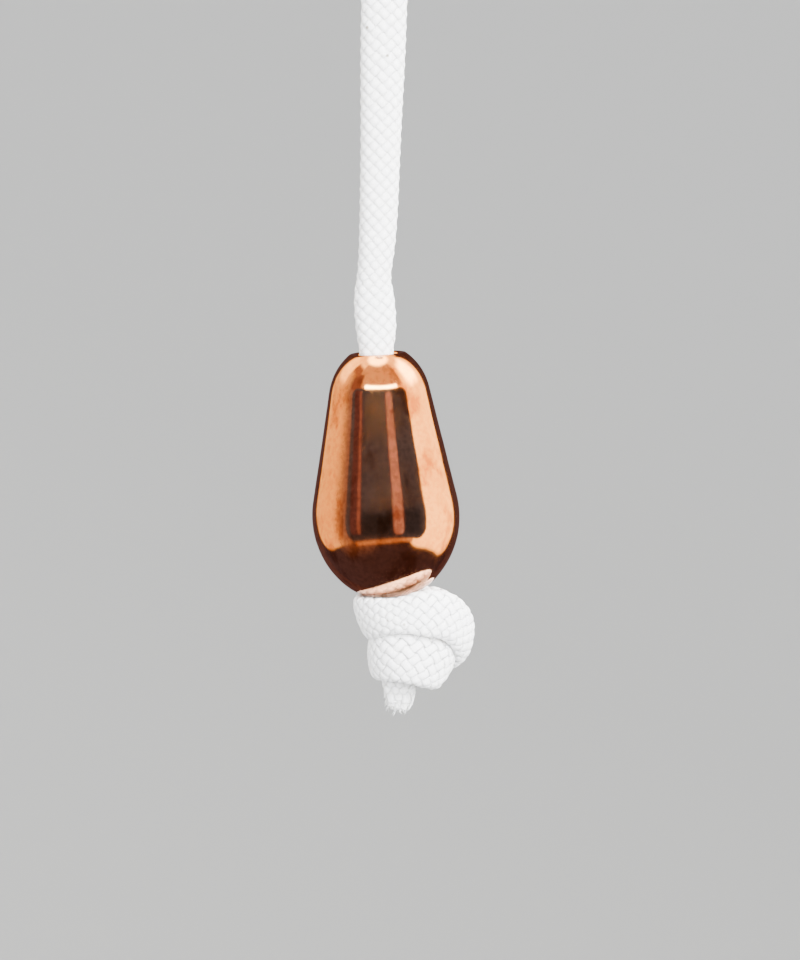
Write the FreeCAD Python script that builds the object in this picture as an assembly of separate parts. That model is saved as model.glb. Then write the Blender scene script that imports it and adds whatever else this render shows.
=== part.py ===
import FreeCAD, Part
import math
import os

# A small turned copper plumb bob on a braided cord. The bob is threaded on the cord and rests on a
# stopper knot tied below it, and the cord's upper end is tied into a loop that hangs it up.
#
# Millimetres, +Z up. The origin is the hanging point, the inner top of the tied loop. The bob and the
# line hang straight below it on the Z axis, and the loop lies in the XZ plane.

# Driving dimensions of the cord
CORD_R = 2.35                 # the soft braid, taken as a round tube
CLEARANCE = 0.3               # air between pieces that move past each other

# Driving dimensions of the hanging eye
LOOP_BEND_R = 9.4             # centre line of the loop's bend, two cord diameters
EYE_KNOT_TOP = -20.5
EYE_KNOT_HEIGHT = 11.0
EYE_KNOT_R = 6.2
EYE_KNOT_ROUNDING = 1.5
LEG_OFFSET = 2.9              # each leg of the loop from the axis, where it enters the knot
LEG_INSERT = 1.5              # how far a leg's centre line runs on into the knot
EYE_TAIL_R = 2.0
EYE_TAIL_LENGTH = 9.4
EYE_TAIL_LEAN = 36.0          # degrees from upright, towards the back

# Driving dimensions of the line
PIVOT_STEP = 5.0              # from the fore-and-aft pivot down to the sideways one
LINE_LENGTH = 43.2            # from the sideways pivot to the bob's top mouth
LINE_INSERT = 3.0             # how far the line's own tube reaches into the bore

# Driving dimensions of the bob
BOB_MAX_R = 9.7
BELLY_R = 12                  # the flat arc of the sides round the widest place
BELLY_DEPTH = 21.6            # the widest place below the top
BOTTOM_R = 8.2                # the tighter arc of the bottom
BOTTOM_TURN = 45              # degrees below level at which the sides' arc becomes the bottom's
TAPER = 11.3                  # half angle of the conical side, degrees
SHOULDER_R = 8.0
BORE_R = 2.8
RIM_R = 0.6                   # rounding of both mouths

# Driving dimensions of the stopper knot, its two wraps one above the other
UPPER_WRAP = {"centre": 3.05, "half_width": 7.9, "half_depth": 6.3, "height": 6.0, "rounding": 2.4}
LOWER_WRAP = {"centre": 2.35, "half_width": 5.5, "half_depth": 5.1, "height": 7.4, "rounding": 2.2}
TAIL_TOP_R = 1.95
TAIL_TIP_R = 1.4
TAIL_LENGTH = 3.8
TAIL_ROUNDING = 0.5

# Places along the Z axis that follow from them
LOOP_CENTRE_Z = CORD_R - LOOP_BEND_R
EYE_KNOT_BOTTOM = EYE_KNOT_TOP - EYE_KNOT_HEIGHT
FORE_AFT_PIVOT_Z = EYE_KNOT_BOTTOM - CORD_R - CLEARANCE
SIDE_PIVOT_Z = FORE_AFT_PIVOT_Z - PIVOT_STEP
BOB_TOP = SIDE_PIVOT_Z - LINE_LENGTH
BELLY_Z = BOB_TOP - BELLY_DEPTH
BELLY_X = BOB_MAX_R - BELLY_R
RIM_X = BORE_R + RIM_R
BOTTOM_X = BELLY_X + (BELLY_R - BOTTOM_R) * math.cos(math.radians(BOTTOM_TURN))
BOTTOM_Z = BELLY_Z - (BELLY_R - BOTTOM_R) * math.sin(math.radians(BOTTOM_TURN))
LOW_RIM_Z = BOTTOM_Z - math.sqrt((BOTTOM_R - RIM_R) ** 2 - (RIM_X - BOTTOM_X) ** 2)
BOB_BOTTOM = LOW_RIM_Z - RIM_R
KNOT_TOP = BOB_BOTTOM - CLEARANCE
LINE_END = BOB_TOP - LINE_INSERT


def point(x, z):
    """A point in the XZ plane, where every outline and route is drawn."""
    return FreeCAD.Vector(x, 0, z)


def on_circle(centre, radius, degrees):
    """The point of a circle in the XZ plane at an angle from +X towards +Z."""
    angle = math.radians(degrees)
    return centre + point(radius * math.cos(angle), radius * math.sin(angle))


def arc(centre, radius, first, last):
    """The arc of a circle in the XZ plane from one angle to another."""
    middle = (first + last) / 2
    return Part.Arc(*[on_circle(centre, radius, a) for a in (first, middle, last)]).toShape()


def line(start, end):
    return Part.LineSegment(start, end).toShape()


def tube(edges, radius):
    """A round tube along a route of straight runs and tangent arcs."""
    route = Part.Wire(edges)
    first = route.OrderedEdges[0]
    ring = Part.Circle(route.OrderedVertexes[0].Point, first.tangentAt(first.FirstParameter), radius)
    solid = route.makePipeShell([Part.Wire(ring.toShape())], True, False)
    share = solid.Volume / (math.pi * radius**2 * route.Length)
    print(f"tube of {route.Length:.1f} mm, volume over section times length {share:.4f}")
    return solid


def upright_rod(radius, top, bottom):
    return Part.makeCylinder(radius, top - bottom, point(0, bottom))


def ball_ended_rod(pivot_z, bottom):
    """A length of the line that turns about its rounded upper end."""
    ball = Part.makeSphere(CORD_R, point(0, pivot_z))
    return upright_rod(CORD_R, pivot_z, bottom).fuse(ball).removeSplitter()


def eye_knot():
    """The barrel knot that closes the loop, as its outer shape."""
    barrel = upright_rod(EYE_KNOT_R, EYE_KNOT_TOP, EYE_KNOT_BOTTOM)
    ends = [e for e in barrel.Edges if isinstance(e.Curve, Part.Circle)]
    return barrel.makeFillet(EYE_KNOT_ROUNDING, ends)


def eye_loop(knot):
    """A bend over the peg and two legs tangent to it, which run into the knot's top."""
    centre = point(0, LOOP_CENTRE_Z)
    leg_foot = point(LEG_OFFSET, EYE_KNOT_TOP)
    to_foot = leg_foot - centre
    spread = math.degrees(math.acos(LOOP_BEND_R / to_foot.Length))
    touch_angle = math.degrees(math.atan2(to_foot.z, to_foot.x)) + spread
    right_touch = on_circle(centre, LOOP_BEND_R, touch_angle)
    right_end = leg_foot + (leg_foot - right_touch).normalize() * LEG_INSERT
    left_touch = point(-right_touch.x, right_touch.z)
    left_end = point(-right_end.x, right_end.z)
    bend = arc(centre, LOOP_BEND_R, 180 - touch_angle, touch_angle)
    route = [line(left_end, left_touch), bend, line(right_touch, right_end)]
    print(f"loop bend radius {LOOP_BEND_R:.1f} mm")
    return tube(route, CORD_R).cut(knot)


def eye_tail(knot):
    """The cord's short spare end, out of the back of the knot's top."""
    lean = math.radians(EYE_TAIL_LEAN)
    direction = FreeCAD.Vector(0, math.sin(lean), math.cos(lean))
    start = FreeCAD.Vector(0, CORD_R + CLEARANCE, EYE_KNOT_TOP - CORD_R)
    return Part.makeCylinder(EYE_TAIL_R, EYE_TAIL_LENGTH, start, direction).cut(knot)


def line_head():
    return ball_ended_rod(FORE_AFT_PIVOT_Z, SIDE_PIVOT_Z + CORD_R + CLEARANCE)


def cord_in_bore():
    return upright_rod(CORD_R, LINE_END - CLEARANCE, KNOT_TOP)


def bob_outline():
    """Half of the bob's section: bore wall, rounded rim, shoulder, cone, sides, bottom, rounded rim."""
    belly = point(BELLY_X, BELLY_Z)
    bottom = point(BOTTOM_X, BOTTOM_Z)
    top_rim = point(RIM_X, BOB_TOP - RIM_R)
    low_rim = point(RIM_X, LOW_RIM_Z)

    # The cone touches the belly's arc where the two share a normal, and the shoulder touches the cone.
    normal = on_circle(point(0, 0), 1, TAPER)
    along = point(-normal.z, normal.x)
    inset = (belly - top_rim).dot(normal) + BELLY_R - SHOULDER_R
    drop = math.sqrt((SHOULDER_R - RIM_R) ** 2 - inset**2)
    shoulder = top_rim + normal * inset - along * drop
    to_rim = top_rim - shoulder
    shoulder_end = math.degrees(math.atan2(to_rim.z, to_rim.x))

    # The lower rim touches the bottom's arc from inside.
    to_rim = low_rim - bottom
    bottom_end = math.degrees(math.atan2(to_rim.z, to_rim.x))

    edges = [
        arc(top_rim, RIM_R, 180, shoulder_end),
        arc(shoulder, SHOULDER_R, shoulder_end, TAPER),
        line(on_circle(shoulder, SHOULDER_R, TAPER), on_circle(belly, BELLY_R, TAPER)),
        arc(belly, BELLY_R, TAPER, -BOTTOM_TURN),
        arc(bottom, BOTTOM_R, -BOTTOM_TURN, bottom_end),
        arc(low_rim, RIM_R, bottom_end, -180),
        line(on_circle(low_rim, RIM_R, -180), on_circle(top_rim, RIM_R, 180)),
    ]
    print(f"bob height {BOB_TOP - BOB_BOTTOM:.2f} mm")
    return Part.Wire(edges)


def bob():
    return Part.Face(bob_outline()).revolve(point(0, 0), FreeCAD.Vector(0, 0, 1), 360)


def wrap(shape, top):
    """One turn of the stopper knot with what it surrounds: an oval disc with a rounded edge."""
    bottom = top - shape["height"]
    oval = Part.Ellipse(point(shape["centre"], bottom), shape["half_width"], shape["half_depth"])
    disc = Part.Face(Part.Wire(oval.toShape())).extrude(point(0, shape["height"]))
    rims = [e for e in disc.Edges if isinstance(e.Curve, Part.Ellipse)]
    return disc.makeFillet(shape["rounding"], rims)


def stopper_knot():
    upper = wrap(UPPER_WRAP, KNOT_TOP)
    lower_top = KNOT_TOP - UPPER_WRAP["height"] + LOWER_WRAP["rounding"] / 2
    return upper.fuse(wrap(LOWER_WRAP, lower_top)).removeSplitter()


def cord_tail(knot):
    """The cut end of the cord below the knot, thinner where the braid has closed up."""
    root = knot.BoundBox.ZMin + TAIL_LENGTH / 2
    length = root - knot.BoundBox.ZMin + TAIL_LENGTH
    slope = (TAIL_TOP_R - TAIL_TIP_R) / TAIL_LENGTH
    cone = Part.makeCone(TAIL_TIP_R + slope * length, TAIL_TIP_R, length, point(0, root), point(0, -1))
    tip = [e for e in cone.Edges if abs(e.BoundBox.ZMax - (root - length)) < CLEARANCE / 10]
    return cone.makeFillet(TAIL_ROUNDING, tip).cut(knot)


def main():
    eye = eye_knot()
    stopper = stopper_knot()
    nodes = {
        "eye_loop": eye_loop(eye),
        "eye_knot": eye,
        "eye_tail": eye_tail(eye),
        "line_head": line_head(),
        "line": ball_ended_rod(SIDE_PIVOT_Z, LINE_END),
        "cord_in_bore": cord_in_bore(),
        "bob": bob(),
        "stopper_knot": stopper,
        "cord_tail": cord_tail(stopper),
    }
    os.makedirs("parts", exist_ok=True)
    for name, shape in nodes.items():
        box = shape.optimalBoundingBox()
        print(f"{name}: {len(shape.Solids)} solid, valid {shape.isValid()}, {shape.Volume:.0f} mm3,"
              f" x {box.XMin:.2f}..{box.XMax:.2f}, z {box.ZMin:.2f}..{box.ZMax:.2f}")
        shape.exportStep(f"parts/{name}.step")


main()
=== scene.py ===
import math

import bpy
import numpy as np
from mathutils import Matrix, Vector


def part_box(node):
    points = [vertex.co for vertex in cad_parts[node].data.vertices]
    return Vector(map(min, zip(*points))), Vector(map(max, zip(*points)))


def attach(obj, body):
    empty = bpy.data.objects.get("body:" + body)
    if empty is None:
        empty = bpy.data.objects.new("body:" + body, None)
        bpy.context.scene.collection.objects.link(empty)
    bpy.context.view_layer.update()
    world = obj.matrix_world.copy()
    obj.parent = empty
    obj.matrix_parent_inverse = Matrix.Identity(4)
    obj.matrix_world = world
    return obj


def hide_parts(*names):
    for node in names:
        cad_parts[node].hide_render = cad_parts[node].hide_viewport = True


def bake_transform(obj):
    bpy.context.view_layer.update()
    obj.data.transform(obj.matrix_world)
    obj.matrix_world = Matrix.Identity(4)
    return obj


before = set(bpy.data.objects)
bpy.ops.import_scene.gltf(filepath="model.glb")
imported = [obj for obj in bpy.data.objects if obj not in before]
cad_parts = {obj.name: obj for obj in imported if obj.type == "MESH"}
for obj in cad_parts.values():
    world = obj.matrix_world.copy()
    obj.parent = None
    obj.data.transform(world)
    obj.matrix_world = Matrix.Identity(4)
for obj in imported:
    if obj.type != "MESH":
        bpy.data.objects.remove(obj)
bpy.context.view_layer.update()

# A polished copper plumb bob on a white braided cord. The bob is lathed, and the cord is braided
# strand by strand along three routes: the hanging eye, the line, and the stopper knot. Routes and
# sizes are in millimetres where nothing else is said, in the frame of the CAD model: Z up the line,
# X to the right, Y away from the camera.

MM = 0.001
rng = np.random.default_rng(7)


# ---------------------------------------------------------------- places from the CAD model
def low(name):
    """The height of a CAD node's lowest point, in millimetres."""
    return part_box(name)[0].z / MM


def high(name):
    """The height of a CAD node's highest point, in millimetres."""
    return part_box(name)[1].z / MM


MOUTH_Z = high("bob")
BOB_BOTTOM = low("bob")
BOB_MIDDLE = Vector((0, 0, (MOUTH_Z + BOB_BOTTOM) / 2 * MM))    # in metres
SEAM_IN_BORE = low("line")      # here the line's braid ends, out of sight
SEAM_DROP = 2.4                 # from the middle of line_head down to where the eye's braid begins
SEAM_BELOW_EYE = (low("line_head") + high("line_head")) / 2 - SEAM_DROP

# ---------------------------------------------------------------- the braid
CARRIERS = 8                # strands each way round
STITCH = 1.62               # from one stitch to the next along the cord
LAY = CARRIERS * STITCH     # length in which a strand goes once round
STRAND_HALF_WIDTH = 0.68
STRAND_HALF_HEIGHT = 0.24
WEAVE_LIFT = 0.11           # how far a strand rises over and sinks under the others
SECTION_POWER = 2.3         # the cord's section is a superellipse: 2 is an oval, more is squarer
SECTION_SAMPLES = 721       # points read round the section to share out its length
TINY = 1e-9                 # keeps a division from meeting zero

# The depth that the material reads is near 1 on top of the braid and near 0 down in it. The
# material paints shade by it: darker down between the strands and on each strand's inner side.
DEPTH_MIDDLE = 0.5
DEPTH_OF_WEAVE = 0.32       # from a strand's place over or under the others
DEPTH_OF_STRAND = 0.18      # from the side of the strand

# From one ring of points to the next
LINE_STEP = 0.1
EYE_STEP = 0.17
KNOT_STEP = 0.13
BORE_STEP = 0.4             # coarse, because the bob hides it
BORE_SHARE = 0.2            # the share of the knot's route that the bob hides

# The cut end
FRAY = 2.4                  # its strands run nearly straight over this length
FRAY_TURN = 0.3             # and go round this much as fast as in the braid
RAGGED = 0.7                # a strand may stop this far short
LEAST_STEP = 0.05           # the last two rings count as at least this far apart
TAIL_SHADE_RUN = 3.0             # the strands take on a painted shade over this length before they fray
TAIL_SHADE_DEPTH = 0.45                # the share of their depth that is left there, which darkens their painted shade

# The loose filaments of the cut end
FIBRE_COUNT = 220
FIBRE_SIDES = 5
FIBRE_RINGS = 7
FIBRE_ROOTS = (0.3, 2.2)            # from the cut end back along the tail
FIBRE_INSET = 0.4                   # its root lies inside the cord's section by half of this
FIBRE_REACH_OUT = (0.5, 1)          # and at this share of the way out from its middle
FIBRE_LENGTH = (0.35, 1.0)
FIBRE_STRAY = 0.16                  # how far its tip strays any way
FIBRE_OUTWARD = 0.14                # and outward
FIBRE_HALF_WIDTH = (0.035, 0.07)
FIBRE_TAPER = 0.6
# The fibres' depth gives them a middling painted shade.
FIBRE_DEPTH = 0.4
TAIL_RINGS = 7                      # the rings that give the tail's direction

# ---------------------------------------------------------------- the bob's section
BOB_MAX_R = 9.7
BELLY_R = 12.0
BELLY_DEPTH = 21.6          # from the mouth down to the widest place
BOTTOM_R = 8.2
BOTTOM_TURN = math.radians(45)      # how far down the belly's arc runs before the bottom's begins
TAPER = math.radians(11.3)
SHOULDER_R = 8.0
BORE_R = 2.8
RIM_R = 0.6
CONE_RINGS = 24
BORE_RINGS = 20
BOB_SIDES = 224

# The faint waves of hand polishing: height, waves round the bob, turn per millimetre up, and start
POLISHING_WAVES = [
    (0.010, 2, 0.30, 1.0),
    (0.006, 3, -0.55, 0.0),
    (0.003, 7, 1.1, 0.0),
    (0.003, 2, 1.7, 0.0),
]


# ---------------------------------------------------------------- materials
def material(name):
    """A new node material and its shader."""
    made = bpy.data.materials.new(name)
    made.use_nodes = True
    return made, made.node_tree.nodes["Principled BSDF"]


def node(made, kind, **values):
    """A node with its properties and inputs set by name."""
    new = made.node_tree.nodes.new(kind)
    for key, value in values.items():
        if key in new.inputs:
            new.inputs[key].default_value = value
        else:
            setattr(new, key, value)
    return new


def wire(made, *path):
    """Joins sockets in pairs: out, in, out, in."""
    for start, end in zip(path[::2], path[1::2]):
        made.node_tree.links.new(start, end)


def ramp(made, source, stops):
    """A colour ramp over a value, with stops of (place, colour)."""
    new = made.node_tree.nodes.new("ShaderNodeValToRGB")
    band = new.color_ramp
    while len(band.elements) < len(stops):
        band.elements.new(0.5)
    for element, (place, colour) in zip(band.elements, stops):
        element.position = place
        element.color = (*colour, 1)
    wire(made, source, new.inputs["Fac"])
    return new.outputs["Color"]


def maths(made, operation, *values):
    """The result of a maths node over sockets and numbers."""
    new = node(made, "ShaderNodeMath", operation=operation)
    for socket, value in zip(new.inputs, values):
        if isinstance(value, (int, float)):
            socket.default_value = value
        else:
            wire(made, value, socket)
    return new.outputs["Value"]


def tinted(made, colour, tint):
    """A colour multiplied by another."""
    mixed = node(made, "ShaderNodeMix", data_type="RGBA", blend_type="MULTIPLY")
    mixed.inputs["Factor"].default_value = 1.0
    wire(made, colour, mixed.inputs["A"], tint, mixed.inputs["B"])
    return mixed.outputs["Result"]


def copper():
    """Polished copper, handled: uneven tarnish, a few darker stains, scratches and dull marks."""
    made, shader = material("polished_copper")
    place = node(made, "ShaderNodeTexCoord").outputs["Object"]
    patches = node(made, "ShaderNodeTexNoise", Scale=170.0, Detail=5.0, Roughness=0.62)
    drawn_down = node(made, "ShaderNodeMapping", Scale=(1.0, 1.0, 0.6))
    stains = node(made, "ShaderNodeTexNoise", Scale=230.0, Detail=5.0, Roughness=0.6)
    grain = node(made, "ShaderNodeTexNoise", Scale=1500.0, Detail=3.0, Roughness=0.6)
    wire(made, place, patches.inputs["Vector"], place, drawn_down.inputs["Vector"],
         drawn_down.outputs["Vector"], stains.inputs["Vector"], place, grain.inputs["Vector"])
    colour = ramp(made, patches.outputs["Fac"], [
        (0.30, (0.76, 0.31, 0.14)),
        (0.50, (0.89, 0.41, 0.21)),
        (0.72, (0.93, 0.46, 0.25)),
    ])
    stain = ramp(made, stains.outputs["Fac"], [(0.53, (1.0,) * 3), (0.63, (0.66, 0.50, 0.39))])
    speckle = ramp(made, grain.outputs["Fac"], [(0.38, (0.84, 0.82, 0.80)), (0.58, (1.0,) * 3)])
    stretch = node(made, "ShaderNodeMapping", Scale=(1.0, 1.0, 0.12))
    scratches = node(made, "ShaderNodeTexNoise", Scale=2600.0, Detail=3.0, Roughness=0.7)
    wire(made, place, stretch.inputs["Vector"],
         stretch.outputs["Vector"], scratches.inputs["Vector"])
    dull = ramp(made, patches.outputs["Fac"], [(0.35, (0.125,) * 3), (0.65, (0.065,) * 3)])
    bump = node(made, "ShaderNodeBump", Strength=0.05, Distance=0.00005)
    wire(made, tinted(made, tinted(made, colour, stain), speckle), shader.inputs["Base Color"],
         dull, shader.inputs["Roughness"], scratches.outputs["Fac"], bump.inputs["Height"],
         bump.outputs["Normal"], shader.inputs["Normal"])
    shader.inputs["Metallic"].default_value = 1.0
    return made


def braid_white():
    """White polyester yarn: fine filaments along each strand, painted shade down between the
    strands, on each strand's inner side and toward the cut end, and a few specks of dirt."""
    made, shader = material("braided_cord")
    yarn = node(made, "ShaderNodeAttribute", attribute_name="yarn").outputs["Vector"]
    stretch = node(made, "ShaderNodeMapping", Scale=(0.5, 5.0, 9.0))
    filaments = node(made, "ShaderNodeTexNoise", Scale=2.2, Detail=3.0, Roughness=0.6)
    wire(made, yarn, stretch.inputs["Vector"],
         stretch.outputs["Vector"], filaments.inputs["Vector"])
    depth = node(made, "ShaderNodeAttribute", attribute_name="depth").outputs["Fac"]
    # Painted shade: darker where the depth is low, down between the strands, on each strand's inner
    # side, toward the cut end and on the core.
    painted_shade = ramp(made, depth, [(0.0, (0.70, 0.71, 0.69)), (0.55, (0.88, 0.885, 0.875))])
    streaks = ramp(made, filaments.outputs["Fac"], [(0.3, (0.93,) * 3), (0.7, (1.0,) * 3)])
    place = node(made, "ShaderNodeTexCoord").outputs["Object"]
    specks = node(made, "ShaderNodeTexVoronoi", Scale=260.0)
    wire(made, place, specks.inputs["Vector"])
    dirt = ramp(made, specks.outputs["Distance"],
                [(0.035, (0.30, 0.27, 0.22)), (0.075, (1.0,) * 3)])
    bump = node(made, "ShaderNodeBump", Strength=0.4, Distance=0.00005)
    wire(made, tinted(made, tinted(made, painted_shade, streaks), dirt), shader.inputs["Base Color"],
         filaments.outputs["Fac"], bump.inputs["Height"],
         bump.outputs["Normal"], shader.inputs["Normal"])
    shader.inputs["Roughness"].default_value = 0.65
    shader.inputs["Sheen Weight"].default_value = 0.2
    shader.inputs["Subsurface Weight"].default_value = 0.5
    shader.inputs["Subsurface Radius"].default_value = (0.001, 0.001, 0.0009)
    shader.inputs["Subsurface Scale"].default_value = 1.0
    return made


# ---------------------------------------------------------------- routes
def spline(name, controls):
    """The points of a smooth NURBS curve of order 3 with these control points."""
    curve = bpy.data.curves.new(name, "CURVE")
    curve.dimensions = "3D"
    curve.resolution_u = 24
    line = curve.splines.new("NURBS")
    line.points.add(len(controls) - 1)
    for item, place in zip(line.points, controls):
        item.co = (*place, 1)
    line.order_u = 3
    line.use_endpoint_u = True
    holder = bpy.data.objects.new(name, curve)
    mesh = bpy.data.meshes.new_from_object(holder)
    points = np.array([v.co for v in mesh.vertices], float)
    bpy.data.objects.remove(holder)
    bpy.data.curves.remove(curve)
    bpy.data.meshes.remove(mesh)
    return points


def follow(name, route, steps):
    """Reads a route at even steps: its places, its flat's normals, and its width and thickness.

    A route's row is a place, the way the cord's flat side faces, its width and its thickness. steps
    is a list of (share of the length, step), so that what never shows takes fewer points. at is the
    length run to each ring, turned the length that takes the strands round, and unshaded is 1 where
    the strands get no painted shade toward the cut end."""
    places = np.array([row[0] for row in route], float)
    faces = np.array([Vector(row[1]).normalized() for row in route], float)
    sizes = np.array([(row[2], row[3], 0) for row in route], float)
    centre = spline(name, places)
    normal = spline(name, places + faces) - centre
    size = spline(name, sizes)
    run = np.concatenate([[0], np.cumsum(np.linalg.norm(np.diff(centre, axis=0), axis=1))])
    at, begun = [], 0.0
    for share, step in steps:
        at.append(np.arange(begun, share * run[-1], step))
        begun = share * run[-1]
    at = np.concatenate([*at, [run[-1]]])

    def read(values):
        return np.stack([np.interp(at, run, column) for column in values.T], axis=1)

    centre, normal, size = read(centre), read(normal), read(size)
    tangent = unit(np.gradient(centre, at, axis=0))
    normal = unit(normal - (normal * tangent).sum(1)[:, None] * tangent)
    return {"at": at, "turned": at, "unshaded": np.ones(len(at)), "centre": centre, "normal": normal,
            "side": np.cross(tangent, normal), "width": size[:, 0], "thickness": size[:, 1]}


def unit(vectors):
    return vectors / np.maximum(np.linalg.norm(vectors, axis=1), TINY)[:, None]


def signed_power(value, power):
    return np.sign(value) * np.abs(value) ** power


def outline(share, width, thickness):
    """A point of the cord's section and its outward normal, at a share of the way round it."""
    power = 2 / SECTION_POWER

    def section(angle, width, thickness):
        return (signed_power(np.cos(angle), power) * width / 2,
                signed_power(np.sin(angle), power) * thickness / 2)

    angle = np.linspace(0, 2 * math.pi, SECTION_SAMPLES)
    x, y = section(angle, np.median(width), np.median(thickness))
    length = np.concatenate([[0], np.cumsum(np.hypot(np.diff(x), np.diff(y)))])
    turn = np.interp(np.mod(share, 1), length / length[-1], angle)
    x, y = section(turn, width, thickness)
    nx = signed_power(np.cos(turn), 2 - power) / width
    ny = signed_power(np.sin(turn), 2 - power) / thickness
    scale = np.maximum(np.hypot(nx, ny), TINY)
    return x, y, nx / scale, ny / scale


def ring_faces(rings, sides, first=0, closed=False):
    """Quads from each ring of vertices to the next, and from the last to the first where closed."""
    first_rings = np.arange(rings if closed else rings - 1)
    ring, side = np.meshgrid(first_rings, np.arange(sides), indexing="ij")
    after, above = (side + 1) % sides, (ring + 1) % rings
    quads = np.stack([ring * sides + side, ring * sides + after,
                      above * sides + after, above * sides + side], axis=-1)
    return (quads.reshape(-1, 4) + first).tolist()


def tube_faces(rings, sides, first):
    """Quads of a closed tube, with a face at each end, for vertices numbered from first."""
    return [*ring_faces(rings, sides, first),
            list(range(first + sides - 1, first - 1, -1)),
            list(range(first + (rings - 1) * sides, first + rings * sides))]


def strand(path, number, way, sides, rings):
    """One strand's vertices, yarn coordinates and depth, along the first rings of a path."""
    part = slice(rings)
    share = number / CARRIERS + way * path["turned"][part] / LAY
    inset = 2 * (STRAND_HALF_HEIGHT + WEAVE_LIFT)
    x, y, nx, ny = outline(share, path["width"][part] - inset, path["thickness"][part] - inset)
    side, normal = path["side"][part], path["normal"][part]
    out = unit(side * nx[:, None] + normal * ny[:, None])
    over = way * np.cos(2 * math.pi * CARRIERS * share)
    middle = path["centre"][part] + side * x[:, None] + normal * y[:, None]
    middle = middle + out * (WEAVE_LIFT * over)[:, None]
    along = unit(np.gradient(middle, axis=0))
    out = unit(out - (out * along).sum(1)[:, None] * along)
    across = np.cross(along, out)
    turn = np.linspace(0, 2 * math.pi, sides, endpoint=False)
    c, s = np.cos(turn), np.sin(turn)
    points = (middle[:, None] + across[:, None] * (STRAND_HALF_WIDTH * c)[None, :, None]
              + out[:, None] * (STRAND_HALF_HEIGHT * s)[None, :, None])
    yarn = np.stack([np.repeat(path["at"][part], sides), np.tile(c, rings),
                     np.full(rings * sides, number + CARRIERS * (way > 0), float)], axis=1)
    # The depth that the material turns into painted shade: lower where the strand goes under the
    # others, on its inner side, and toward the cut end.
    depth = (DEPTH_MIDDLE + DEPTH_OF_WEAVE * np.repeat(over, sides)
             + DEPTH_OF_STRAND * np.tile(s, rings)) * np.repeat(path["unshaded"][part], sides)
    return points.reshape(-1, 3), yarn, depth


def core(path, sides=20):
    """A plain tube just under the strands, so that nothing shows through between them."""
    inset = 2 * (2 * STRAND_HALF_HEIGHT + WEAVE_LIFT)
    width, thickness = path["width"] - inset, path["thickness"] - inset
    points = []
    for share in np.arange(sides) / sides:
        x, y = outline(np.full(len(width), share), width, thickness)[:2]
        points.append(path["centre"] + path["side"] * x[:, None] + path["normal"] * y[:, None])
    return np.stack(points, axis=1).reshape(-1, 3)


def mesh_piece(name, points, faces, made, attributes=()):
    """A smooth mesh object in metres, with vertex attributes of (name, kind, values)."""
    mesh = bpy.data.meshes.new(name)
    mesh.from_pydata((np.asarray(points) * MM).tolist(), [], faces)
    for key, kind, values in attributes:
        layer = mesh.attributes.new(key, kind, "POINT")
        layer.data.foreach_set("vector" if kind == "FLOAT_VECTOR" else "value",
                               np.asarray(values, np.float32).ravel())
    mesh.materials.append(made)
    mesh.shade_smooth()
    piece = bpy.data.objects.new(name, mesh)
    bpy.context.scene.collection.objects.link(piece)
    return piece


def braid(name, path, made, sides=6, ragged=0.0):
    """A tubular braid along a path: strands both ways round, each over one and under one. Where it
    is ragged, each strand stops short of the path's end by up to that much."""
    points, faces, yarns, depths, count = [], [], [], [], 0
    rings = len(path["at"])
    cuts = [0] * 2 * CARRIERS
    if ragged:
        step = max(path["at"][-1] - path["at"][-2], LEAST_STEP)
        cuts = [int(rng.uniform(0, ragged) / step) for _ in cuts]
    strands = [(number, way) for way in (1, -1) for number in range(CARRIERS)]
    for (number, way), cut in zip(strands, cuts):
        outer, yarn, depth = strand(path, number, way, sides, rings - cut)
        faces += tube_faces(rings - cut, sides, count)
        count += len(outer)
        points.append(outer)
        yarns.append(yarn)
        depths.append(depth)
    inner = core(path)
    faces += tube_faces(rings, len(inner) // rings, count)
    points.append(inner)
    yarns.append(np.zeros((len(inner), 3)))
    # A depth of 0 gives the core the darkest painted shade.
    depths.append(np.zeros(len(inner)))
    return mesh_piece(name, np.concatenate(points), faces, made, [
        ("yarn", "FLOAT_VECTOR", np.concatenate(yarns)),
        ("depth", "FLOAT", np.concatenate(depths)),
    ])


# ---------------------------------------------------------------- the three lengths of cord
FRONT, BACK, LEFT, RIGHT = (0, -1, 0), (0, 1, 0), (-1, 0, 0), (1, 0, 0)

# Above the bob the line stands straight with it for a little, has a slight kink, and leans to the
# right.
KINK_Z = MOUTH_Z + 8.5
KINK_SHIFT = 0.35
LEAN = math.tan(math.radians(4.4))


def leaning(z):
    return (KINK_SHIFT + (z - KINK_Z) * LEAN, 0, z)


LINE_ROUTE = [
    ((0, 0, SEAM_IN_BORE), FRONT, 4.7, 4.4),
    ((-0.2, 0, MOUTH_Z - 0.3), FRONT, 4.2, 4.4),
    ((0, 0, MOUTH_Z + 3.3), FRONT, 5.55, 4.3),
    ((-0.1, 0, KINK_Z - 0.9), FRONT, 5.4, 4.2),
    ((0.0, 0, KINK_Z + 1.4), FRONT, 4.3, 4.2),
    (leaning(KINK_Z + 7), FRONT, 5.0, 4.2),
    (leaning(KINK_Z + 20), FRONT, 5.3, 4.1),
    (leaning(KINK_Z + 31), FRONT, 6.0, 4.0),
    (leaning(SEAM_BELOW_EYE), FRONT, 6.0, 4.0),
]

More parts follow.
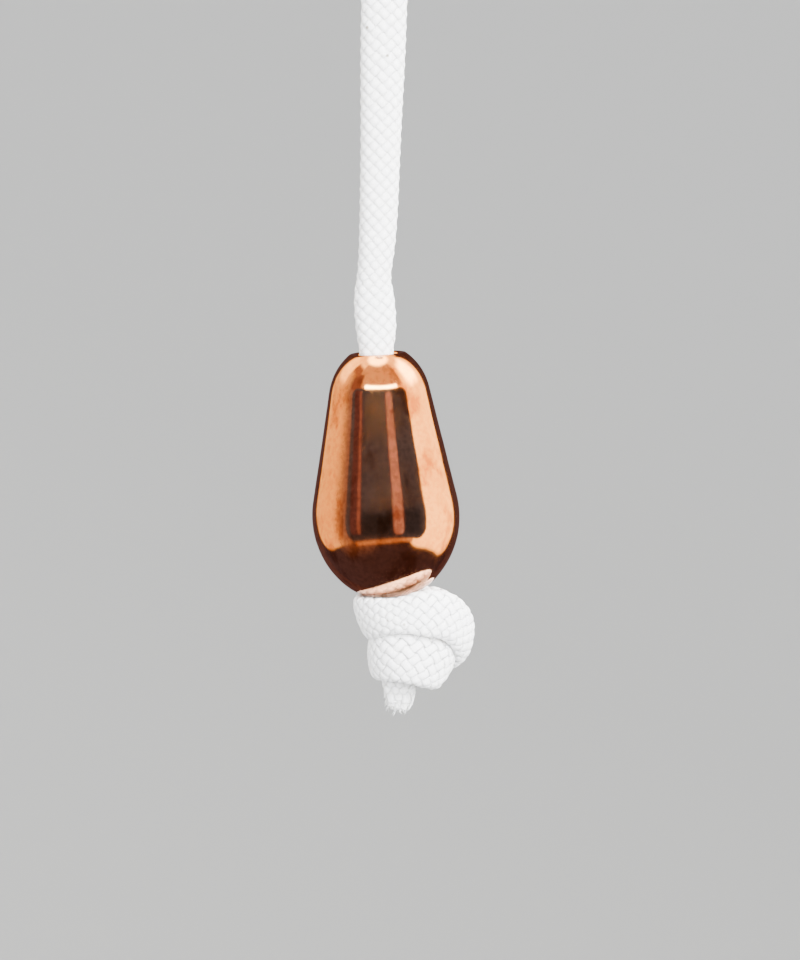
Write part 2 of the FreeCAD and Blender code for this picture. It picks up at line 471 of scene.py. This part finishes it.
EYE_ROUTE = [
    ((0, 0, SEAM_BELOW_EYE), FRONT, 6.0, 4.0),
    ((0, 0, -33), FRONT, 5.6, 3.6),
    ((-0.6, 0, -28), (-1, -1, 0), 5.0, 2.6),
    ((-1.6, 0, -23), LEFT, 5.0, 2.6),
    ((-3.6, 0, -18.5), (-1, 0, 0.4), 5.0, 3.4),
    ((-9.4, 0, -10.8), (-1, 0, -0.1), 5.2, 4.0),
    ((-9.2, 0, -2.6), (-1, 0, 0.4), 5.3, 3.9),
    ((-3.9, 0, 2.3), (-0.4, 0, 1), 5.5, 3.8),
    ((3.9, 0, 2.3), (0.4, 0, 1), 5.5, 3.8),
    ((9.2, 0, -2.6), (1, 0, 0.4), 5.3, 3.9),
    ((9.4, 0, -10.8), (1, 0, -0.1), 5.2, 4.0),
    ((3.6, 0, -18.5), (1, 0, 0.4), 5.0, 3.4),
    ((1.5, 0, -23), RIGHT, 5.0, 2.6),
    ((1.2, 0.1, -27.5), RIGHT, 5.2, 2.6),
    ((2.4, -0.6, -30.6), (1, -0.3, -0.6), 5.6, 2.6),
    ((4.9, -2.4, -29.2), (1, -0.5, -0.2), 6.0, 2.5),
    ((0.4, -5.3, -28.2), FRONT, 6.0, 2.5),
    ((-4.6, -2.7, -27.6), (-1, -0.6, 0), 6.0, 2.5),
    ((-4.5, 2.7, -27.0), (-1, 0.6, 0), 6.0, 2.5),
    ((0.2, 5.2, -26.2), BACK, 6.0, 2.5),
    ((4.5, 2.6, -25.2), (1, 0.6, 0), 6.0, 2.5),
    ((4.6, -2.7, -24.2), (1, -0.6, 0), 6.0, 2.5),
    ((0.2, -5.2, -23.5), FRONT, 6.0, 2.5),
    ((-4.4, -2.8, -22.9), (-1, -0.6, 0), 6.0, 2.5),
    ((-4.4, 2.5, -22.4), (-1, 0.6, 0), 5.8, 2.5),
    ((-1.2, 4.9, -21.6), BACK, 5.2, 2.6),
    ((0.6, 5.0, -19.0), (0, 1, -0.5), 4.8, 3.0),
    ((1.0, 6.2, -15.0), (0, 1, -0.5), 4.4, 3.2),
]

KNOT_ROUTE = [
    ((0, 0, 28.1), FRONT, 4.7, 4.4),
    ((0, 0, 14), FRONT, 4.7, 4.4),
    ((0, 0, 3), FRONT, 4.7, 4.0),
    ((0.6, 0.3, -1.5), (-0.3, -1, 0), 4.8, 3.0),
    ((2.2, 0.8, -4.5), (-0.2, -1, 0), 4.8, 2.6),
    ((3.2, 0.9, -8.1), (0, -1, 0), 4.8, 2.6),
    ((4.2, 0.2, -11.3), (0.6, -0.6, -0.6), 5.2, 2.6),
    ((6.6, -1.4, -10.6), (1, -0.5, -0.3), 5.9, 2.6),
    ((5.5, -4.3, -8.9), (0.6, -1, -0.05), 6.9, 2.6),
    ((1.8, -5.4, -7.7), FRONT, 7.0, 2.6),
    ((-1.1, -4.3, -7.9), (-0.7, -1, 0), 6.3, 2.6),
    ((-2.5, -0.3, -8.4), LEFT, 6.1, 2.6),
    ((-1.0, 3.7, -8.3), (-0.7, 1, 0), 6.1, 2.6),
    ((2.2, 5.0, -8.1), BACK, 6.2, 2.6),
    ((5.8, 4.6, -8.1), (0.5, 1, -0.2), 6.2, 2.8),
    ((8.3, 2.6, -8.2), (1, 0.5, -0.5), 6.2, 3.0),
    ((9.7, -0.7, -6.0), (1, -0.1, -0.2), 6.1, 3.2),
    ((7.8, -4.1, -2.8), (0.62, -0.75, 0.23), 6.4, 3.0),
    ((4.9, -5.9, -1.9), (0.2, -1, 0.15), 6.5, 2.6),
    ((1.2, -6.0, -2.1), (0, -1, 0.2), 4.6, 2.4),
    ((-1.8, -4.7, -2.4), (-0.6, -1, 0), 5.2, 2.4),
    ((-3.5, -1.7, -3.0), (-1, -0.3, -0.3), 6.2, 2.4),
    ((-3.3, 1.8, -3.1), (-1, 0.4, -0.3), 6.2, 2.4),
    ((-1.4, 4.5, -2.9), (-0.4, 1, -0.2), 6.0, 2.4),
    ((2.2, 5.3, -2.7), BACK, 6.0, 2.4),
    ((8.1, 3.0, -3.2), (1, 0.6, 0), 6.0, 2.6),
    ((5.6, 0.4, -4.4), (0.8, 0.2, 0.8), 5.2, 2.6),
    ((0.8, -0.6, -4.9), (0.3, 1, 0.6), 4.8, 2.6),
    ((0.4, -0.5, -8.5), (0, 1, 0), 4.7, 2.6),
    ((0.7, -0.3, -11.9), (0, 1, 0), 4.7, 3.4),
    ((0.6, -0.2, -13.9), (0, 1, 0), 4.3, 3.6),
    ((0.2, -0.2, -15.5), (0, 1, 0), 3.1, 2.8),
]


def moved(route, dx, dz):
    """A route shifted along X and Z."""
    return [((x + dx, y, z + dz), *rest) for (x, y, z), *rest in route]


def make_cords():
    white = braid_white()
    line_path = follow("line_route", LINE_ROUTE, [(1.0, LINE_STEP)])
    line_end_x = leaning(SEAM_BELOW_EYE)[0]
    eye_path = follow("eye_route", moved(EYE_ROUTE, line_end_x, 0), [(1.0, EYE_STEP)])
    knot_path = follow("knot_route", moved(KNOT_ROUTE, 0, BOB_BOTTOM),
                       [(BORE_SHARE, BORE_STEP), (1.0, KNOT_STEP)])

    line = braid("line_cord", line_path, white, sides=8)
    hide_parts("line_head", "line")
    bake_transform(line)

    eye = braid("eye_cord", eye_path, white)
    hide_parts("eye_loop", "eye_knot", "eye_tail")
    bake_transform(eye)

    at = knot_path["at"]
    unravelled = at[-1] - FRAY
    knot_path["turned"] = np.minimum(at, unravelled + FRAY_TURN * (at - unravelled))
    # Toward the cut end the strands' depth falls, so the material paints them darker: painted
    # shade.
    knot_path["unshaded"] = np.interp(at, [unravelled - TAIL_SHADE_RUN, unravelled], [1.0, TAIL_SHADE_DEPTH])
    stopper = braid("stopper_cord", knot_path, white, ragged=RAGGED)
    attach(stopper, "lower_cord")
    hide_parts("cord_in_bore", "stopper_knot", "cord_tail")
    fibres = make_fibres(knot_path, white)


def make_fibres(path, made):
    """Loose filaments that stand out of the tail and its ragged cut end."""
    points, faces = [], []
    reach = np.linspace(0, 1, FIBRE_RINGS)
    turn = np.linspace(0, 2 * math.pi, FIBRE_SIDES, endpoint=False)
    down = path["centre"][-1] - path["centre"][-1 - TAIL_RINGS]
    down = down / np.linalg.norm(down)
    for _ in range(FIBRE_COUNT):
        ring = len(path["at"]) - 1 - int(rng.uniform(*FIBRE_ROOTS) / KNOT_STEP)
        x, y, nx, ny = outline(rng.uniform(0, 1), path["width"][ring] - FIBRE_INSET,
                               path["thickness"][ring] - FIBRE_INSET)
        side, normal = path["side"][ring], path["normal"][ring]
        out = side * nx + normal * ny
        start = path["centre"][ring] + (side * x + normal * y) * rng.uniform(*FIBRE_REACH_OUT)
        length = rng.uniform(*FIBRE_LENGTH)
        stray = rng.normal(0.0, FIBRE_STRAY, 3) + out * abs(rng.normal(0.0, FIBRE_OUTWARD))
        middle = start + np.outer(reach, down) * length + np.outer(reach**2, stray)
        width = rng.uniform(*FIBRE_HALF_WIDTH) * (1 - FIBRE_TAPER * reach)
        around = np.cos(turn)[None, :, None] * side + np.sin(turn)[None, :, None] * normal
        faces += tube_faces(FIBRE_RINGS, FIBRE_SIDES, FIBRE_RINGS * FIBRE_SIDES * len(points))
        points.append((middle[:, None] + width[:, None, None] * around).reshape(-1, 3))
    points = np.concatenate(points)
    fibre = np.repeat(np.arange(FIBRE_COUNT), FIBRE_RINGS * FIBRE_SIDES)
    piece = mesh_piece("tail_fibres", points, faces, made, [
        ("yarn", "FLOAT_VECTOR", np.stack([points[:, 2], 0 * fibre, fibre], axis=1)),
        ("depth", "FLOAT", np.full(len(points), FIBRE_DEPTH)),
    ])
    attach(piece, "lower_cord")
    return piece


# ---------------------------------------------------------------- the bob
def arc_points(centre, radius, first, last, count):
    angle = np.linspace(first, last, count)
    return np.asarray(centre) + radius * np.stack([np.cos(angle), np.sin(angle)], axis=1)


def angle_from(centre, place):
    """The angle at which a place lies from a centre."""
    return math.atan2(place[1] - centre[1], place[0] - centre[0])


def bob_section():
    """The bob's closed outline as radius and height: rim, shoulder, cone, belly, bottom, lower rim
    and bore."""
    belly = np.array([BOB_MAX_R - BELLY_R, MOUTH_Z - BELLY_DEPTH])
    turn = np.array([math.cos(BOTTOM_TURN), -math.sin(BOTTOM_TURN)])
    bottom = belly + (BELLY_R - BOTTOM_R) * turn
    top_rim = np.array([BORE_R + RIM_R, MOUTH_Z - RIM_R])
    normal = np.array([math.cos(TAPER), math.sin(TAPER)])
    along = np.array([-normal[1], normal[0]])
    inset = (belly - top_rim) @ normal + BELLY_R - SHOULDER_R
    shoulder = top_rim + normal * inset - along * math.sqrt((SHOULDER_R - RIM_R) ** 2 - inset**2)
    shoulder_end = angle_from(shoulder, top_rim)
    reach = BORE_R + RIM_R - bottom[0]
    low_rim = np.array([BORE_R + RIM_R, bottom[1] - math.sqrt((BOTTOM_R - RIM_R) ** 2 - reach**2)])
    bottom_end = angle_from(bottom, low_rim)
    cone_top = shoulder + SHOULDER_R * normal
    cone_foot = belly + BELLY_R * normal
    cone = cone_top + (cone_foot - cone_top) * np.linspace(0, 1, CONE_RINGS + 2)[1:-1, None]
    bore_z = np.linspace(low_rim[1], top_rim[1], BORE_RINGS + 2)[1:-1]
    return np.concatenate([
        arc_points(top_rim, RIM_R, math.pi, shoulder_end, count=14),
        arc_points(shoulder, SHOULDER_R, shoulder_end, TAPER, count=30)[1:],
        cone,
        arc_points(belly, BELLY_R, TAPER, -BOTTOM_TURN, count=46),
        arc_points(bottom, BOTTOM_R, -BOTTOM_TURN, bottom_end, count=24)[1:],
        arc_points(low_rim, RIM_R, bottom_end, -math.pi, count=14)[1:],
        np.stack([np.full(BORE_RINGS, BORE_R), bore_z], axis=1),
    ])


def turned_about_z(radius, z, turn):
    """The vertices of rings about the Z axis, from a column of radii and one of heights."""
    x, y = radius * np.cos(turn), radius * np.sin(turn)
    return np.stack([x, y, z + 0 * turn], axis=-1).reshape(-1, 3)


def make_bob():
    """The bob turned about its axis, with the faint waves of hand polishing outside its bore."""
    section = bob_section()
    turn = np.linspace(0, 2 * math.pi, BOB_SIDES, endpoint=False)
    radius, z = section[:, 0][:, None], section[:, 1][:, None]
    wave = sum(size * np.sin(waves * turn + rise * z + start)
               for size, waves, rise, start in POLISHING_WAVES)
    radius = radius + np.where(radius > BORE_R + RIM_R, wave, 0.0)
    # The section runs down the outside, so the rings' quads are taken the other way round.
    quads = ring_faces(len(section), BOB_SIDES, closed=True)
    faces = [[first, *rest[::-1]] for first, *rest in quads]
    bob = mesh_piece("copper_bob", turned_about_z(radius, z, turn), faces, copper())
    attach(bob, "bob")
    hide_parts("bob")


# ---------------------------------------------------------------- studio and camera
def aim(thing, place, target, roll=0.0):
    """Puts a light or camera at a place, looking at a target, rolled clockwise by an angle."""
    forward = (Vector(target) - Vector(place)).normalized()
    right = forward.cross(Vector((0, 0, 1))).normalized()
    up = right.cross(forward)
    tilted_up = up * math.cos(roll) + right * math.sin(roll)
    tilted_right = forward.cross(tilted_up)
    turn = Matrix((tilted_right, tilted_up, -forward)).transposed()
    thing.matrix_world = Matrix.Translation(place) @ turn.to_4x4()


def around_bob(azimuth, elevation, distance):
    """A place at an angle from the camera's side of the bob, positive to the right."""
    a, e = math.radians(azimuth), math.radians(elevation)
    direction = (math.sin(a) * math.cos(e), -math.cos(a) * math.cos(e), math.sin(e))
    return BOB_MIDDLE + distance * Vector(direction)


EVEN_LIGHT = (0.45, 0.46, 0.47)         # what everything but a mirror sees
DARK_ROOM = (0.13, 0.070, 0.068)        # what the copper mirrors where the tent has nothing

# What the copper mirrors: a warm light tent with a dark opening in front for the camera. Each row
# is a colour, the azimuths and elevations that it spans in degrees from the bob, the radius of its
# corners and how soft its edge is. Azimuth is from the camera's side, positive to the right. Later
# rows cover earlier ones.
TENT = [
    ((0.084, 0.058, 0.076), (-140, 140), (-90, -20), 4, 4.0),   # dark table
    ((2.2, 1.30, 0.36), (-141, -30), (-26.5, 62), 36, 1.8),     # left wall
    ((0.50, 0.30, 0.23), (-83, -20), (-32, 46), 16, 16.0),      # its dimmer inner part
    ((5.0, 3.40, 1.05), (-136, -98), (22, 60), 8, 5.0),         # its brighter top
    ((5.4, 3.60, 1.05), (30, 132), (-34.5, 62), 26, 2.0),       # right wall
    ((18.0, 15.0, 6.0), (78, 118), (22, 66), 9, 8.0),           # its brighter top
    ((4.0, 2.6, 0.80), (-190, 190), (56, 100), 6, 6.0),         # ceiling
    ((1.5, 0.86, 0.33), (-62, 62), (28, 76), 4, 4.0),           # its dimmer front
    ((0.42, 0.18, 0.11), (-72, -46), (20, 50), 3, 3.0),         # gap beside it, leaning
    ((0.75, 0.34, 0.16), (-98, -62), (44, 60), 5, 4.0),         # and the gap's upper end
    ((34.0, 33.0, 17.0), (-36, 46), (26.5, 32), 2.5, 2.5),      # strip lamp over the opening
    ((16.0, 13.0, 5.0), (-190, 190), (74, 100), 5, 5.0),        # lamp overhead
    ((0.130, 0.140, 0.195), (-66, 66), (-25.5, 25), 15, 0.7),   # the opening
    ((0.046, 0.053, 0.078), (-58, 58), (-22, 11.5), 9, 8.0),    # its darker lower part
    ((1.2, 0.62, 0.22), (-54, 44), (-29.5, -25), 1.2, 1.0),     # lit sill under it
    ((0.17, 0.084, 0.096), (-58, -40), (-17, 22), 4, 1.2),      # a lit edge to the left
    ((0.48, 0.23, 0.20), (-46, -41), (-16, 21), 2, 1.6),        # its bright rim
    ((0.87, 0.50, 0.44), (12, 28), (-20, 20), 6, 1.2),          # a lit edge to the right
]


def area_mask(made, azimuth, elevation, across, up, corner, soft):
    """1 inside a rounded rectangle of directions and 0 outside it."""
    away = []
    for angle, (least, most) in ((azimuth, across), (elevation, up)):
        middle = math.radians((least + most) / 2)
        half = math.radians((most - least) / 2 - corner)
        offset = maths(made, "ABSOLUTE", maths(made, "SUBTRACT", angle, middle))
        away.append(maths(made, "MAXIMUM", maths(made, "SUBTRACT", offset, half), 0.0))
    squares = [maths(made, "MULTIPLY", part, part) for part in away]
    distance = maths(made, "SQRT", maths(made, "ADD", *squares))
    edge = node(made, "ShaderNodeMapRange", interpolation_type="SMOOTHSTEP")
    edge.inputs["From Min"].default_value = math.radians(corner + soft)
    edge.inputs["From Max"].default_value = math.radians(corner - soft)
    wire(made, distance, edge.inputs["Value"])
    return edge.outputs["Result"]


def make_tent():
    """The tent as a world that mirrors see, and an even white light for everything else."""
    world = bpy.data.worlds.new("light_tent")
    world.use_nodes = True
    direction = node(world, "ShaderNodeSeparateXYZ")
    wire(world, node(world, "ShaderNodeTexCoord").outputs["Generated"], direction.inputs["Vector"])
    x, y, z = direction.outputs
    azimuth = maths(world, "ARCTAN2", x, maths(world, "MULTIPLY", y, -1.0))
    elevation = maths(world, "ARCSINE", z)
    below = node(world, "ShaderNodeRGB").outputs["Color"]
    below.default_value = (*DARK_ROOM, 1)
    for colour, across, up, corner, soft in TENT:
        painted = node(world, "ShaderNodeMix", data_type="RGBA", B=(*colour, 1))
        mask = area_mask(world, azimuth, elevation, across, up, corner, soft)
        wire(world, mask, painted.inputs["Factor"], below, painted.inputs["A"])
        below = painted.outputs["Result"]
    seen = node(world, "ShaderNodeMix", data_type="RGBA", A=(*EVEN_LIGHT, 1))
    background = world.node_tree.nodes["Background"]
    wire(world, node(world, "ShaderNodeLightPath").outputs["Is Glossy Ray"], seen.inputs["Factor"],
         below, seen.inputs["B"], seen.outputs["Result"], background.inputs["Color"])
    bpy.context.scene.world = world


# Name, azimuth, elevation, size in metres and power
SOFTBOXES = [
    ("key_softbox", 38, 24, 0.8, 95.0),
    ("fill_softbox", -35, 15, 0.9, 28.0),
    ("back_softbox", 135, 38, 0.9, 34.0),
]
SOFTBOX_DISTANCE = 0.9


def make_lights():
    """Soft white light on the cord and the floor, which the copper doesn't mirror."""
    for name, azimuth, elevation, size, power in SOFTBOXES:
        light = bpy.data.lights.new(name, "AREA")
        light.shape = "SQUARE"
        light.size = size
        light.energy = power
        holder = bpy.data.objects.new(name, light)
        holder.visible_glossy = False
        bpy.context.scene.collection.objects.link(holder)
        aim(holder, around_bob(azimuth, elevation, SOFTBOX_DISTANCE), BOB_MIDDLE)


# In metres
FLOOR_Z = -0.95
FLOOR_HOLE_R = 0.02         # inside it one face closes the floor
FLOOR_R = 1.2
WALL_BEND_R = 0.8
WALL_HEIGHT = 2.0
FLOOR_SIDES = 96


def make_floor():
    """A pale floor that curves up into a wall all round."""
    bend = np.linspace(0, math.pi / 2, 24)
    rise = WALL_BEND_R * (1 - np.cos(bend))
    run = FLOOR_R + WALL_BEND_R * np.sin(bend)
    radius = np.array([FLOOR_HOLE_R, *run, FLOOR_R + WALL_BEND_R])
    z = FLOOR_Z + np.array([0.0, *rise, WALL_BEND_R + WALL_HEIGHT])
    turn = 2 * math.pi * np.arange(FLOOR_SIDES) / FLOOR_SIDES
    points = turned_about_z(radius[:, None] / MM, z[:, None] / MM, turn)
    faces = [*ring_faces(len(radius), FLOOR_SIDES), list(range(FLOOR_SIDES))[::-1]]
    made, shader = material("studio_floor")
    shader.inputs["Base Color"].default_value = (0.40, 0.405, 0.41, 1)
    shader.inputs["Roughness"].default_value = 0.9
    floor = mesh_piece("studio_floor", points, faces, made)
    floor.visible_glossy = False
    floor.visible_shadow = False


LENS = 120.0
SENSOR = 36.0
VIEW_HEIGHT = 126.316                       # millimetres of the bob's plane that the frame shows
VIEW_MIDDLE = (2.1, 0, MOUTH_Z - 16.9)      # millimetres
CAMERA_ELEVATION = math.radians(7)
CAMERA_ROLL = math.radians(2.9)             # the bob hangs tilted in the frame by this


def make_camera():
    target = Vector(VIEW_MIDDLE) * MM
    distance = LENS / SENSOR * VIEW_HEIGHT * MM
    away = Vector((0, -math.cos(CAMERA_ELEVATION), math.sin(CAMERA_ELEVATION)))
    data = bpy.data.cameras.new("camera")
    data.lens, data.sensor_width = LENS, SENSOR
    camera = bpy.data.objects.new("camera", data)
    bpy.context.scene.collection.objects.link(camera)
    aim(camera, target + distance * away, target, roll=CAMERA_ROLL)
    bpy.context.scene.camera = camera


make_camera()
make_cords()
make_bob()
make_tent()
make_lights()
make_floor()
